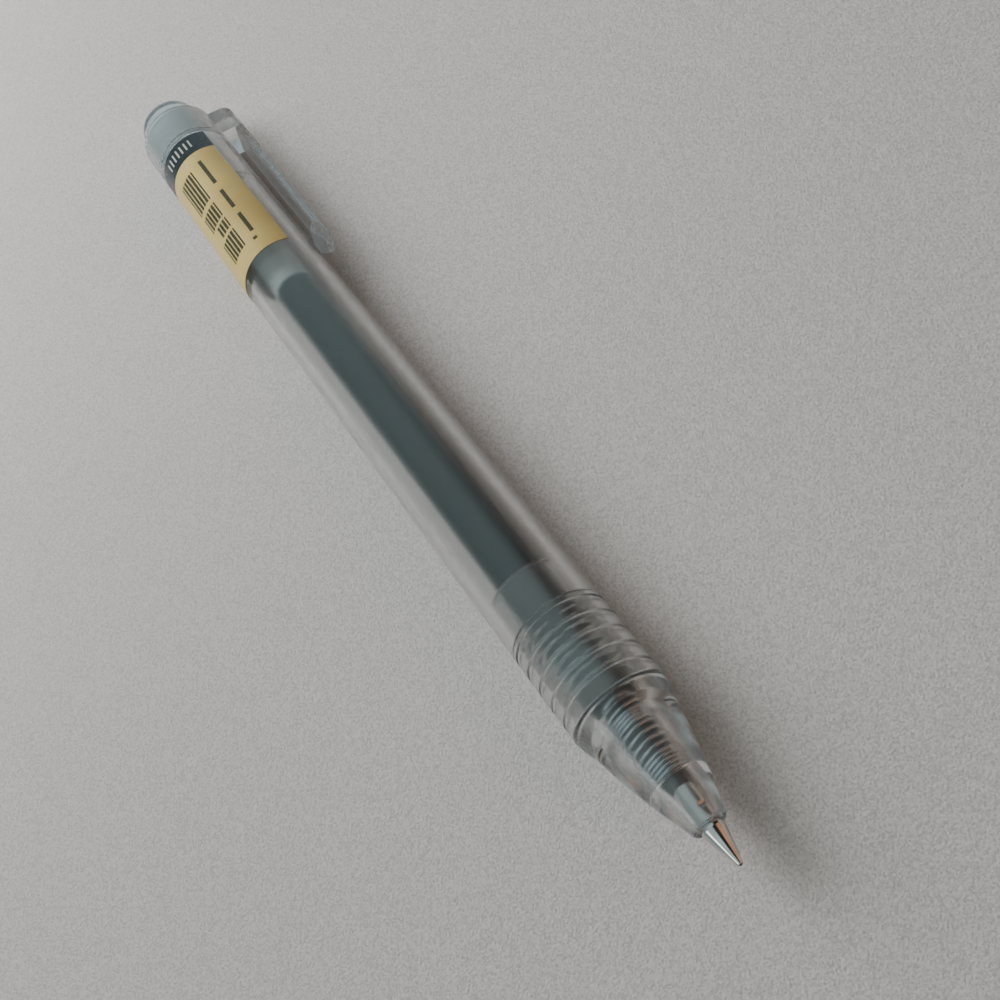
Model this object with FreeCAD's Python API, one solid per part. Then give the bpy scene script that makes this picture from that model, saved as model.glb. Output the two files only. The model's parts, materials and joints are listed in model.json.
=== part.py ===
"""Retractable gel pen with a clear barrel, lying on a table in its writing position.

Every piece is drawn in pen coordinates, in millimetres: X runs along the pen towards the
writing tip, X = 0 is the front of the ball, and +Y points at the clip. place() then rolls the
pen until the clip's edge comes down to the table and moves it over the row's origin: the
middle of the bounding box, with the table at Z = 0 and the writing tip towards +X.
"""

import FreeCAD, Part
import math
import os

from FreeCAD import Vector

# ---------------------------------------------------------------- driving dimensions (mm)
BARREL_R = 5.4
PEN_LENGTH = 137.0

# stations along the pen, from the front of the ball backwards
NOSE_END = -4.45
SPRING_SEAT = -9.6
NOSE_SEAM = -18.45
REFILL_SHOULDER = -19.3
THREAD_FRONT = -20.4
THREAD_BACK = -29.0
SPIGOT_BACK = -35.2
INK_END = -91.2
FOLLOWER_END = -100.2
LABEL_FRONT = -95.6
REFILL_END = -109.2
SLEEVE_FRONT = -113.5
SLEEVE_BACK = -124.0
LABEL_BACK = -124.3
COLLAR_FRONT = -125.6
COLLAR_BACK = -132.5

# barrel: straight from the nose to the label, then drawn in slightly towards the tail
TAIL_R = 5.34             # at the tail ring
BORE_R = 4.1
WIDE_BORE_R = 4.45
NECK_R = 5.0
GROOVE_COUNT = 5
GROOVE_PITCH = 2.15
FIRST_GROOVE = -28.7
GROOVE_HALF = 0.3
GROOVE_DEPTH = 0.22
MOUTH_CHAMFER = 0.1
MOUTH_BORE_BACK = -29.8   # the wide bore at the mouth takes the nose's thread
NECK_BACK = -131.5        # the reduced neck under the tail ring

# label: a sticker on the barrel, whose bare gap is under the clip
LABEL_T = 0.08
LABEL_FIRST = 68.0        # degrees from the clip to the label's near edge
LABEL_SWEEP = 215.5

# nose
NOSE_SEAM_R = 5.33
SPIGOT_R = 4.0
SPIGOT_BORE_R = 3.0
THREAD_ROOT_R = 3.9
THREAD_CREST_R = 4.3
THREAD_PITCH = 1.05
CHAMBER_R = 2.4
GUIDE_R = 1.75
ORIFICE_R = 1.27
NOSE_SHOULDER = ((-17.55, 5.21), (-16.05, 4.72))
NOSE_FLANK = ((-12.0, 3.94), (-8.2, 2.97))
NOSE_TAPER = ((-6.4, 2.4), (-4.65, 1.9))
NOSE_LIP_R = 1.75
CHAMBER_BACK = -17.0
THREAD_HALF_ROOT = 0.36   # half width of the thread's ridge at its root
THREAD_HALF_CREST = 0.08

# clip
CLIP_HALF_WIDTH = 2.2
CLIP_TIP_HALF_WIDTH = 1.8
CLIP_ROOT_BACK = -131.8
CLIP_HINGE = -126.2
CLIP_TIP = -96.4
CLIP_OUT = 8.2            # outer face above the pen's axis, at the root
CLIP_IN = 6.9
CLIP_CORNER_R = 1.1       # rounding of the root's back corner
CLIP_TIP_OUT = 8.0        # outer face at the tip
CLIP_TIP_IN = 6.7         # inner face at the tip, each side of the bump
CLIP_BUMP_BACK = 2.4      # from the tip to the lowest point of the bump
CLIP_BUMP_GAP = 0.35      # bump to barrel

# knock mechanism
KNOB_R = 4.3
KNOB_HOLE_R = 4.38
KNOB_BORE_R = 3.4
KNOB_CROWN_T = 1.4        # thickness of the button's closed end
KNOB_SIDE_LENGTH = 1.3    # from the button's end to where its straight side starts
PLUNGER_BACK = -133.5
PLUNGER_R = 3.3
PLUNGER_BORE_R = 2.35
PLUNGER_FRONT = -113.0
PLUNGER_RIBS = (-116.9, -114.1)
SLEEVE_BORE_R = 3.45
SLOT_FLOOR_R = 3.95
SLOT_WIDTH = 1.7
SLOT_BACK = -122.1
RIB_R = 3.8
RIB_WIDTH = 1.4
RIB_COUNT = 4
RIB_FIRST = 45.0          # degrees from the clip to the first rib and slot
RIB_SINK = 0.3            # how far a rib's root is sunk into its tube
TOOTH_COUNT = 8
TOOTH_DEPTH = 0.8
SLEEVE_TOOTH_DEPTH = 0.7
SLEEVE_TOOTH_LEAN = 0.1
ROTOR_BACK = -112.8
ROTOR_PILOT_R = 2.1
ROTOR_PILOT_BACK = -118.0
ROTOR_SOCKET_R = 2.75
ROTOR_FRONT = -104.5
ROTOR_RIBS = (-113.1, -109.6)

# refill
TUBE_R = 2.7
TUBE_BORE_R = 2.25
TUBE_FRONT = -21.5
HOLDER_BACK = -26.0
HOLDER_BOSS_R = 1.5
HOLDER_FRONT = -8.7
INK_CHANNEL_R = 0.5
STEM_R = 1.15
STEM_BACK = -13.0
STEM_BORE_R = 0.75
CONE_R = 1.2
CONE_BACK = -4.2
CONE_FLANK = ((-2.4, 0.86), (-0.5, 0.39))
BALL_R = 0.25
SOCKET_GAP = 0.02
LIP_X = -0.16             # front edge of the socket that holds the ball
LIP_R = 0.3
FEED_R = 0.22             # ink feed bore just behind the ball
CRIMP_X = -6.1
CRIMP_BALL_R = 0.7
CRIMP_DEPTH = 0.15
CRIMP_FIRST = 73.5

# springs
SPRING_WIRE_R = 0.2
SPRING_R = 1.93
SPRING_TURNS = 16
BALL_SPRING_WIRE_R = 0.06
BALL_SPRING_R = 0.3
BALL_SPRING_BACK = -9.0
BALL_SPRING_FRONT = -2.9
BALL_SPRING_TURNS = 15

AXIS = Vector(1, 0, 0)
ORIGIN = Vector(0, 0, 0)


# ---------------------------------------------------------------- placing on the table
def clip_roll():
    """How far below level the clip points when its edge and the barrel both meet the table."""
    edge_r = math.hypot(CLIP_OUT, CLIP_HALF_WIDTH)
    edge_angle = math.degrees(math.atan2(CLIP_HALF_WIDTH, CLIP_OUT))
    return math.degrees(math.asin(BARREL_R / edge_r)) - edge_angle


def place(shape):
    """Roll a piece about the pen's axis and move it from pen coordinates to the row frame."""
    roll = math.radians(clip_roll())
    clip_reach = CLIP_OUT * math.cos(roll) + CLIP_HALF_WIDTH * math.sin(roll)
    placed = shape.copy()
    placed.rotate(ORIGIN, AXIS, -clip_roll())
    placed.translate(Vector(PEN_LENGTH / 2, (BARREL_R - clip_reach) / 2, BARREL_R))
    return placed


# ---------------------------------------------------------------- shape helpers
def lathe(start, *steps, angle=360.0, first=0.0):
    """Turn an outline of (x, r) points about the pen's axis.

    A step is a point for a straight line, or a pair of points for an arc through the first
    of them. The outline closes by itself. first is the angle that a part turn starts from.
    """
    edges = []
    here = Vector(start[0], start[1], 0)
    for step in list(steps) + [start]:
        through_arc = isinstance(step[0], tuple)
        end = Vector(*(step[1] if through_arc else step), 0)
        if (end - here).Length < 1e-6:
            continue
        if through_arc:
            edges.append(Part.Arc(here, Vector(*step[0], 0), end).toShape())
        else:
            edges.append(Part.LineSegment(here, end).toShape())
        here = end
    face = Part.Face(Part.Wire(edges))
    face.rotate(ORIGIN, AXIS, first)
    solid = face.revolve(ORIGIN, AXIS, angle)
    return solid if solid.Volume > 0 else solid.reversed()


def rod(x0, x1, r):
    """A plain round bar along the pen's axis."""
    return Part.makeCylinder(r, x1 - x0, Vector(x0, 0, 0), AXIS)


def around(shape, count, first=0.0):
    """Copies of a shape, evenly spaced about the pen's axis."""
    copies = []
    for i in range(count):
        copy = shape.copy()
        copy.rotate(ORIGIN, AXIS, first + i * 360.0 / count)
        copies.append(copy)
    return copies


def rib(x0, x1, r0, r1, width, lean=0.0):
    """A key along the pen, standing out towards +Y; lean slants its back face."""
    corners = [(x0, -width / 2), (x1, -width / 2), (x1, width / 2), (x0 + lean, width / 2)]
    points = [Vector(x, r0, z) for x, z in corners]
    face = Part.Face(Part.makePolygon(points + points[:1]))
    return face.extrude(Vector(0, r1 - r0, 0))


def notch(x_mouth, depth, r0, r1, width, lean=0.5):
    """A V-shaped cutter from a face at x_mouth, depth deep; lean moves the V's bottom."""
    bottom = (lean - 0.5) * width
    points = [
        Vector(x_mouth, r0, -width / 2),
        Vector(x_mouth, r0, width / 2),
        Vector(x_mouth + depth, r0, bottom),
    ]
    face = Part.Face(Part.makePolygon(points + points[:1]))
    return face.extrude(Vector(0, r1 - r0, 0))


def cut_crown(shape, x_mouth, depth, r0, r1, lean=0.5):
    """Cut a ring of V notches into an end face."""
    width = 2 * math.pi * (r0 + r1) / 2 / TOOTH_COUNT
    cutter = notch(x_mouth, depth, r0 - 0.4, r1 + 0.4, width, lean)
    return shape.cut(Part.makeCompound(around(cutter, TOOTH_COUNT)))


def coil(x0, x1, turns, mean_r, wire_r):
    """A round-wire helical spring between two stations."""
    length = x1 - x0
    helix = Part.makeHelix(length / turns, length, mean_r)
    section = Part.Wire(Part.makeCircle(wire_r, Vector(mean_r, 0, 0), Vector(0, 1, 0)))
    solid = Part.Wire(helix).makePipeShell([section], True, True)
    solid.rotate(ORIGIN, Vector(0, 1, 0), 90)
    solid.translate(Vector(x0, 0, 0))
    return solid


# ---------------------------------------------------------------- casing
def label_shape():
    taper = (BARREL_R - TAIL_R) / (LABEL_FRONT - COLLAR_FRONT)
    back_r = TAIL_R + taper * (LABEL_BACK - COLLAR_FRONT)
    return lathe(
        (LABEL_BACK, back_r),
        (LABEL_BACK, back_r + LABEL_T),
        (LABEL_FRONT, BARREL_R + LABEL_T),
        (LABEL_FRONT, BARREL_R),
        angle=LABEL_SWEEP,
        first=LABEL_FIRST,
    )


def barrel_shape():
    outline = [
        (NECK_BACK, NECK_R),
        (COLLAR_FRONT, NECK_R),
        (COLLAR_FRONT, TAIL_R),
        (LABEL_FRONT, BARREL_R),
    ]
    for i in range(GROOVE_COUNT):
        x = FIRST_GROOVE + i * GROOVE_PITCH
        outline.append((x - GROOVE_HALF, BARREL_R))
        outline.append(((x, BARREL_R - GROOVE_DEPTH), (x + GROOVE_HALF, BARREL_R)))
    outline += [
        (NOSE_SEAM - MOUTH_CHAMFER, BARREL_R),
        (NOSE_SEAM, BARREL_R - MOUTH_CHAMFER),
        (NOSE_SEAM, WIDE_BORE_R),
        (MOUTH_BORE_BACK, WIDE_BORE_R),
        (MOUTH_BORE_BACK - (WIDE_BORE_R - BORE_R), BORE_R),
        (SLEEVE_FRONT, BORE_R),
        (SLEEVE_FRONT, WIDE_BORE_R),
    ]
    return lathe((NECK_BACK, WIDE_BORE_R), *outline)


def collar_shape():
    """The clear tail ring with the clip's root block."""
    ring = lathe(
        (COLLAR_FRONT, NECK_R),
        (COLLAR_FRONT, BARREL_R),
        (COLLAR_BACK + 0.5, BARREL_R),
        ((COLLAR_BACK + 0.15, BARREL_R - 0.15), (COLLAR_BACK, BARREL_R - 0.5)),
        (COLLAR_BACK, KNOB_HOLE_R),
        (NECK_BACK, KNOB_HOLE_R),
        (NECK_BACK, NECK_R),
    )
    round_r = CLIP_CORNER_R
    top = CLIP_OUT - round_r
    sagitta = round_r * (1 - math.sqrt(0.5))
    profile = [
        Part.LineSegment(Vector(CLIP_HINGE, 0, 0), Vector(CLIP_HINGE, CLIP_OUT, 0)),
        Part.LineSegment(
            Vector(CLIP_HINGE, CLIP_OUT, 0), Vector(CLIP_ROOT_BACK + round_r, CLIP_OUT, 0)
        ),
        Part.Arc(
            Vector(CLIP_ROOT_BACK + round_r, CLIP_OUT, 0),
            Vector(CLIP_ROOT_BACK + sagitta, CLIP_OUT - sagitta, 0),
            Vector(CLIP_ROOT_BACK, top, 0),
        ),
        Part.LineSegment(Vector(CLIP_ROOT_BACK, top, 0), Vector(CLIP_ROOT_BACK, 0, 0)),
        Part.LineSegment(Vector(CLIP_ROOT_BACK, 0, 0), Vector(CLIP_HINGE, 0, 0)),
    ]
    face = Part.Face(Part.Wire([edge.toShape() for edge in profile]))
    face.translate(Vector(0, 0, -CLIP_HALF_WIDTH))
    block = face.extrude(Vector(0, 0, 2 * CLIP_HALF_WIDTH))
    block = block.cut(rod(COLLAR_BACK - 1, COLLAR_FRONT + 1, NECK_R + 0.2))
    return ring.fuse(block).removeSplitter()


def clip_arm_shape():
    """The springy bar: a side view crossed with a plan view."""
    brow = Vector(CLIP_TIP - 1.4, CLIP_TIP_OUT, 0)
    nose = Vector(CLIP_TIP, CLIP_TIP_IN, 0)
    bump_front = Vector(CLIP_TIP - 0.9, CLIP_TIP_IN - 0.2, 0)
    bump = Vector(CLIP_TIP - CLIP_BUMP_BACK, BARREL_R + CLIP_BUMP_GAP, 0)
    bump_back = Vector(CLIP_TIP - 4.2, CLIP_TIP_IN, 0)
    side = [
        Part.LineSegment(Vector(CLIP_HINGE, CLIP_IN, 0), Vector(CLIP_HINGE, CLIP_OUT, 0)),
        Part.LineSegment(Vector(CLIP_HINGE, CLIP_OUT, 0), brow),
        Part.Arc(brow, Vector(CLIP_TIP - 0.3, CLIP_TIP_OUT - 0.4, 0), nose),
        Part.LineSegment(nose, bump_front),
        Part.Arc(bump_front, bump, bump_back),
        Part.LineSegment(bump_back, Vector(CLIP_HINGE, CLIP_IN, 0)),
    ]
    face = Part.Face(Part.Wire([edge.toShape() for edge in side]))
    face.translate(Vector(0, 0, -CLIP_HALF_WIDTH))
    bar = face.extrude(Vector(0, 0, 2 * CLIP_HALF_WIDTH))
    neck, tip = CLIP_HALF_WIDTH, CLIP_TIP_HALF_WIDTH
    bow = CLIP_TIP - tip
    plan = [
        Part.LineSegment(Vector(CLIP_HINGE, 0, -neck), Vector(bow, 0, -tip)),
        Part.Arc(Vector(bow, 0, -tip), Vector(CLIP_TIP, 0, 0), Vector(bow, 0, tip)),
        Part.LineSegment(Vector(bow, 0, tip), Vector(CLIP_HINGE, 0, neck)),
        Part.LineSegment(Vector(CLIP_HINGE, 0, neck), Vector(CLIP_HINGE, 0, -neck)),
    ]
    outline = Part.Face(Part.Wire([edge.toShape() for edge in plan]))
    prism = outline.extrude(Vector(0, CLIP_OUT + 2, 0))
    return bar.common(prism)


def nose_shape():
    """The clear screw-in nose: cone, spring chamber, plain spigot and male thread."""
    body = lathe(
        (SPIGOT_BACK, SPIGOT_BORE_R),
        (SPIGOT_BACK, SPIGOT_R - 0.15),
        (SPIGOT_BACK + 0.15, SPIGOT_R),
        (THREAD_BACK - 0.6, SPIGOT_R),
        (THREAD_BACK - 0.5, THREAD_ROOT_R),
        (NOSE_SEAM, THREAD_ROOT_R),
        (NOSE_SEAM, NOSE_SEAM_R),
        NOSE_SHOULDER,
        NOSE_FLANK,
        NOSE_TAPER,
        (NOSE_END, NOSE_LIP_R),
        (NOSE_END, ORIFICE_R),
        (NOSE_END - 0.6, ORIFICE_R),
        (-6.9, GUIDE_R),
        (SPRING_SEAT, GUIDE_R),
        (SPRING_SEAT, CHAMBER_R),
        (CHAMBER_BACK, CHAMBER_R),
        (CHAMBER_BACK - 0.8, SPIGOT_BORE_R),
    )
    length = THREAD_FRONT - THREAD_BACK
    helix = Part.makeHelix(THREAD_PITCH, length, THREAD_ROOT_R)
    inner_r = THREAD_ROOT_R - 0.1
    ridge = Part.makePolygon(
        [
            Vector(inner_r, 0, -THREAD_HALF_ROOT),
            Vector(THREAD_CREST_R, 0, -THREAD_HALF_CREST),
            Vector(THREAD_CREST_R, 0, THREAD_HALF_CREST),
            Vector(inner_r, 0, THREAD_HALF_ROOT),
            Vector(inner_r, 0, -THREAD_HALF_ROOT),
        ]
    )
    thread = Part.Wire(helix).makePipeShell([ridge], True, True)
    thread.rotate(ORIGIN, Vector(0, 1, 0), 90)
    thread.translate(Vector(THREAD_BACK, 0, 0))
    return body.fuse(thread)


# ---------------------------------------------------------------- knock mechanism
def button_shape():
    return lathe(
        (COLLAR_FRONT, KNOB_BORE_R),
        (COLLAR_FRONT, KNOB_R),
        (-PEN_LENGTH + KNOB_SIDE_LENGTH, KNOB_R),
        ((-PEN_LENGTH + 0.45, KNOB_R - 0.4), (-PEN_LENGTH + 0.12, KNOB_R - 1.3)),
        ((-PEN_LENGTH + 0.03, 1.9), (-PEN_LENGTH, 0.8)),
        (-PEN_LENGTH, 0),
        (-PEN_LENGTH + KNOB_CROWN_T, 0),
        (-PEN_LENGTH + KNOB_CROWN_T, KNOB_BORE_R),
    )


def plunger_shape():
    """The driver inside the button: a tube with guide ribs and a crown of teeth."""
    tube = lathe(
        (PLUNGER_BACK, PLUNGER_BORE_R),
        (PLUNGER_BACK, KNOB_BORE_R),
        (COLLAR_FRONT, KNOB_BORE_R),
        (COLLAR_FRONT + 0.1, PLUNGER_R),
        (PLUNGER_FRONT, PLUNGER_R),
        (PLUNGER_FRONT, PLUNGER_BORE_R),
    )
    tube = cut_crown(tube, PLUNGER_FRONT + 0.01, -TOOTH_DEPTH, PLUNGER_BORE_R, PLUNGER_R)
    key = rib(*PLUNGER_RIBS, PLUNGER_R - RIB_SINK, RIB_R, RIB_WIDTH)
    return tube.fuse(around(key, RIB_COUNT, RIB_FIRST)).removeSplitter()


def rotor_shape():
    """The rotary cam: back pilot, toothed head with ribs, and a cup for the refill's tail."""
    body = lathe(
        (ROTOR_PILOT_BACK, 0),
        (ROTOR_PILOT_BACK, ROTOR_PILOT_R - 0.3),
        (ROTOR_PILOT_BACK + 0.3, ROTOR_PILOT_R),
        (ROTOR_BACK, ROTOR_PILOT_R),
        (ROTOR_BACK, PLUNGER_R),
        (ROTOR_FRONT, PLUNGER_R),
        (ROTOR_FRONT, ROTOR_SOCKET_R),
        (REFILL_END - 0.1, ROTOR_SOCKET_R),
        (REFILL_END - 0.1, 0),
    )
    body = cut_crown(body, ROTOR_BACK - 0.01, TOOTH_DEPTH, ROTOR_PILOT_R + 0.42, PLUNGER_R)
    key = rib(*ROTOR_RIBS, PLUNGER_R - RIB_SINK, RIB_R, RIB_WIDTH, lean=TOOTH_DEPTH)
    return body.fuse(around(key, RIB_COUNT, RIB_FIRST)).removeSplitter()


def sleeve_shape():
    """The fixed guide: four blind slots for the ribs and a saw-toothed front end."""
    ring = lathe(
        (SLEEVE_BACK, SLEEVE_BORE_R),
        (SLEEVE_BACK, WIDE_BORE_R),
        (SLEEVE_FRONT, WIDE_BORE_R),
        (SLEEVE_FRONT, SLEEVE_BORE_R),
    )
    slot = rib(SLOT_BACK, SLEEVE_FRONT + 0.2, SLEEVE_BORE_R - 0.4, SLOT_FLOOR_R, SLOT_WIDTH)
    ring = ring.cut(Part.makeCompound(around(slot, RIB_COUNT, RIB_FIRST)))
    depth, lean = SLEEVE_TOOTH_DEPTH, SLEEVE_TOOTH_LEAN
    return cut_crown(ring, SLEEVE_FRONT + 0.01, -depth, SLEEVE_BORE_R, SLOT_FLOOR_R, lean)


# ---------------------------------------------------------------- refill
def refill_tube_shape():
    return rod(REFILL_END, TUBE_FRONT, TUBE_R).cut(rod(REFILL_END - 1, TUBE_FRONT + 1, TUBE_BORE_R))


def ink_shape():
    column = rod(INK_END, HOLDER_BACK, TUBE_BORE_R)
    feed = rod(HOLDER_BACK - 0.5, STEM_BACK, INK_CHANNEL_R)
    return column.fuse(feed).removeSplitter()


def follower_shape():
    return lathe(
        (INK_END, 0),
        (INK_END, TUBE_BORE_R),
        (FOLLOWER_END, TUBE_BORE_R),
        ((FOLLOWER_END + 0.45, TUBE_BORE_R * 0.62), (FOLLOWER_END + 0.7, 0.4)),
        (FOLLOWER_END + 0.7, 0),
    )


def holder_shape():
    """The moulded plug that joins the tube to the metal tip; its shoulder seats the spring."""
    return lathe(
        (HOLDER_BACK, INK_CHANNEL_R),
        (HOLDER_BACK, TUBE_BORE_R),
        (TUBE_FRONT, TUBE_BORE_R),
        (TUBE_FRONT, TUBE_R),
        (REFILL_SHOULDER, TUBE_R),
        (REFILL_SHOULDER, HOLDER_BOSS_R),
        (HOLDER_FRONT - 0.9, HOLDER_BOSS_R),
        (HOLDER_FRONT, STEM_R + 0.12),
        (HOLDER_FRONT, STEM_R),
        (STEM_BACK, STEM_R),
        (STEM_BACK, INK_CHANNEL_R),
    )


def metal_tip_shape():
    """Turned stem and writing cone, bored for the ink, with three crimp dimples."""
    solid = lathe(
        (STEM_BACK, 0),
        (STEM_BACK, STEM_R),
        (CONE_BACK, STEM_R),
        (CONE_BACK, CONE_R),
        (CONE_BACK + 0.3, CONE_R),
        CONE_FLANK,
        (LIP_X, LIP_R),
        (LIP_X, 0),
    )
    solid = solid.cut(
        lathe(
            (STEM_BACK - 0.1, 0),
            (STEM_BACK - 0.1, STEM_BORE_R),
            (-2.8, STEM_BORE_R),
            (-2.2, FEED_R),
            (-BALL_R, FEED_R),
            (-BALL_R, 0),
        )
    )
    solid = solid.cut(Part.makeSphere(BALL_R + SOCKET_GAP, Vector(-BALL_R, 0, 0)))
    dimple = Part.makeSphere(CRIMP_BALL_R, Vector(CRIMP_X, STEM_R + CRIMP_BALL_R - CRIMP_DEPTH, 0))
    return solid.cut(around(dimple, 3, CRIMP_FIRST))


def ball_shape():
    return Part.makeSphere(BALL_R, Vector(-BALL_R, 0, 0))


def ball_spring_shape():
    """The fine spring behind the ball: a coil whose front end runs on straight to the ball."""
    wire = coil(
        BALL_SPRING_BACK, BALL_SPRING_FRONT, BALL_SPRING_TURNS, BALL_SPRING_R, BALL_SPRING_WIRE_R
    )
    reach = Part.makeCylinder(
        BALL_SPRING_WIRE_R * 1.1,
        BALL_SPRING_R + 0.06,
        Vector(BALL_SPRING_FRONT, 0, -BALL_SPRING_R),
        Vector(0, 0, 1),
    )
    pin = rod(BALL_SPRING_FRONT, -2 * BALL_R - 0.02, BALL_SPRING_WIRE_R * 1.2)
    return wire.fuse([reach, pin])


def return_spring_shape():
    end_gap = SPRING_WIRE_R + 0.02
    return coil(
        REFILL_SHOULDER + end_gap, SPRING_SEAT - end_gap, SPRING_TURNS, SPRING_R, SPRING_WIRE_R
    )


PARTS = {
    "barrel": barrel_shape,
    "label": label_shape,
    "clip_collar": collar_shape,
    "clip_arm": clip_arm_shape,
    "nose_cone": nose_shape,
    "knock_button": button_shape,
    "plunger": plunger_shape,
    "rotor": rotor_shape,
    "cam_sleeve": sleeve_shape,
    "refill_tube": refill_tube_shape,
    "ink": ink_shape,
    "ink_follower": follower_shape,
    "tip_holder": holder_shape,
    "metal_tip": metal_tip_shape,
    "writing_ball": ball_shape,
    "ball_spring": ball_spring_shape,
    "return_spring": return_spring_shape,
}

os.makedirs("parts", exist_ok=True)
for name, make in PARTS.items():
    piece = place(make())
    if not piece.isValid() or piece.Volume <= 0:
        raise ValueError(f"{name} isn't a valid solid")
    piece.exportStep(f"parts/{name}.step")
    print(f"{name}: {len(piece.Solids)} solid, {piece.Volume:.3f} mm3, {piece.BoundBox}")
print(f"clip roll {clip_roll():.3f} degrees")
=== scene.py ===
"""A retractable gel pen with a clear barrel, lying on a pale table.

The pieces are drawn in pen coordinates, in millimetres: x runs along the pen's axis to the
writing tip, x = 0 is the front of the ball, +y points at the clip, and angles about the axis
start at the clip and run towards +z. PEN carries them into the frame's coordinates.
"""

import json
import math

import bmesh
import bpy
import numpy as np
from mathutils import Matrix, Vector


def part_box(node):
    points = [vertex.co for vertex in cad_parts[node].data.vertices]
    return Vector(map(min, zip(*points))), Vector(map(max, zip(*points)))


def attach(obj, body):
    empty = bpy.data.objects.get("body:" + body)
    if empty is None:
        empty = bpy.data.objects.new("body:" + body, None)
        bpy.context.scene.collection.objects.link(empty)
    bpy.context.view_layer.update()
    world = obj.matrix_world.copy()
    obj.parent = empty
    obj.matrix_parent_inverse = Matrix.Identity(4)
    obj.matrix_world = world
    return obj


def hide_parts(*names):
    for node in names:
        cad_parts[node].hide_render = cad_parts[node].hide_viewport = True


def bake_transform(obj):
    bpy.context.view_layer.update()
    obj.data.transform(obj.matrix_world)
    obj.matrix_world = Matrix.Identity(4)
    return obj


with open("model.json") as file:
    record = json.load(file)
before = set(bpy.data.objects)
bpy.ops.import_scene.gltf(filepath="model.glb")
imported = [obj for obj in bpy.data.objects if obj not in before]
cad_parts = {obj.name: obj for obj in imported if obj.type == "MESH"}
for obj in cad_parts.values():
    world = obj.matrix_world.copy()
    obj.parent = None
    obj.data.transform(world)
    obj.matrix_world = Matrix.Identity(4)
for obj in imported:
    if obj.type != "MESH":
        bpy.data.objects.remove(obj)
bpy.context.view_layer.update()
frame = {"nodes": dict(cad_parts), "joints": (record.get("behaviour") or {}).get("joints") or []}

# ---------------------------------------------------------------- dimensions (mm)
MM = 0.001
SEGMENTS = 192              # facets round the barrel and nose
MEDIUM_SEGMENTS = 128       # round the collar, button, tube and holder
COARSE_SEGMENTS = 96        # round the ink and grease
SHARP_ANGLE = 38.0          # edges that turn by more degrees are shaded sharp
ON_AXIS = 0.001             # the radius of a point on the axis, kept off zero

# stations along the pen, from the tail to the tip
PEN_BACK = -137.0
COLLAR_BACK = -132.5
NECK_BACK = -131.5
COLLAR_FRONT = -125.6
LABEL_BACK = -124.3
LABEL_FRONT = -95.6
SLEEVE_FRONT = -113.5
REFILL_END = -109.2
FOLLOWER_END = -100.2
INK_END = -91.2
SPIGOT_BACK = -35.2
MOUTH_BORE_BACK = -29.8
THREAD_BACK = -29.0
THREAD_FRONT = -20.4
HOLDER_BACK = -26.0
TUBE_FRONT = -21.5
REFILL_SHOULDER = -19.3
NOSE_SEAM = -18.45
STEM_BACK = -13.0
SPRING_SEAT = -9.6
HOLDER_FRONT = -8.7
NOSE_END = -4.45
CONE_BACK = -4.2

BARREL_R = 5.4
BORE_R = 4.1
WIDE_BORE_R = 4.45
NECK_R = 5.0
TAIL_R = 5.34
MOUTH_TAPER = 0.35          # length of the step from the wide bore to the narrow one
GROOVES = [-28.7 + 2.15 * i for i in range(5)]
GROOVE_HALF = 0.2
GROOVE_DEPTH = 0.16
GROOVE_LIP = 0.06
GROOVE_LIP_DROP = 0.015

LABEL_T = 0.08
LABEL_FIRST = 68.0          # degrees from the clip
LABEL_SWEEP = 215.5
LABEL_STEPS = 160
LABEL_GLUE_BACK = 0.008     # the sticker's underside stands this far off the barrel
LABEL_GLUE_FRONT = 0.005

THREAD_PITCH = 1.05
THREAD_ROOT_R = 3.9
THREAD_CREST_R = 4.3
THREAD_HALF_BASE = 0.30
THREAD_FLANK = 0.22
THREAD_LEAD_IN = 0.6

SPIGOT_R = 4.0
SPIGOT_BORE_R = 3.0
SPRING_BORE_R = 2.4
TIP_BORE_R = 1.75
TIP_HOLE_R = 1.27
NOSE_SHOULDER = (NOSE_SEAM + 0.12, 5.33)
NOSE_PROFILE = (            # arcs on from the shoulder: a point (x, r) on the way, then the end
    ((-17.55, 5.21), (-16.05, 4.72)),
    ((-12.0, 3.94), (-8.2, 2.97)),
    ((-6.4, 2.4), (-4.65, 1.9)),
)

COLLAR_SEAT_R = NECK_R + 0.02
KNOB_R = 4.3
KNOB_HOLE_R = 4.38
KNOB_BORE_R = 3.42
KNOB_CAP_T = 1.4
KNOB_CROWN = 1.3            # length and width of the rounding at the button's end

CLIP_HINGE = -126.2
CLIP_TIP = -96.4
CLIP_ROOT_BACK = -131.8
CLIP_ROOT_ROUND = 1.1
CLIP_ROOT_IN = 4.2
CLIP_OUT = 8.2              # the bar's outer and inner faces at the hinge, then at the tip
CLIP_IN = 6.9
CLIP_TIP_OUT = 8.0
CLIP_TIP_IN = 6.7
CLIP_HALF_WIDTH = 2.2
CLIP_TIP_HALF_WIDTH = 1.8
CLIP_END_ROUND = 1.4
CLIP_END_DROP = 1.1
CLIP_BUMP = CLIP_TIP - 2.4
CLIP_BUMP_HALF = 1.9
CLIP_GAP = 0.37             # between the bump and the barrel

TUBE_R = 2.7
TUBE_BORE_R = 2.25
WET_R = TUBE_BORE_R + 0.05      # the ink wets the tube, so no air shows between them
GREASE_R = TUBE_BORE_R + 0.04
MENISCUS = 0.7
FEED_R = 0.5
HOLDER_BOSS_R = 1.5
HOLDER_CHAMFER = 0.9
STEM_R = 1.15
STEM_HOLE_R = STEM_R + 0.01
CONE_R = 1.2
CRIMP_X = -6.1
CRIMP_ANGLES = (73.5, 193.5, 313.5)
CRIMP_R = 0.45
CRIMP_DEPTH = 0.15

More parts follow.
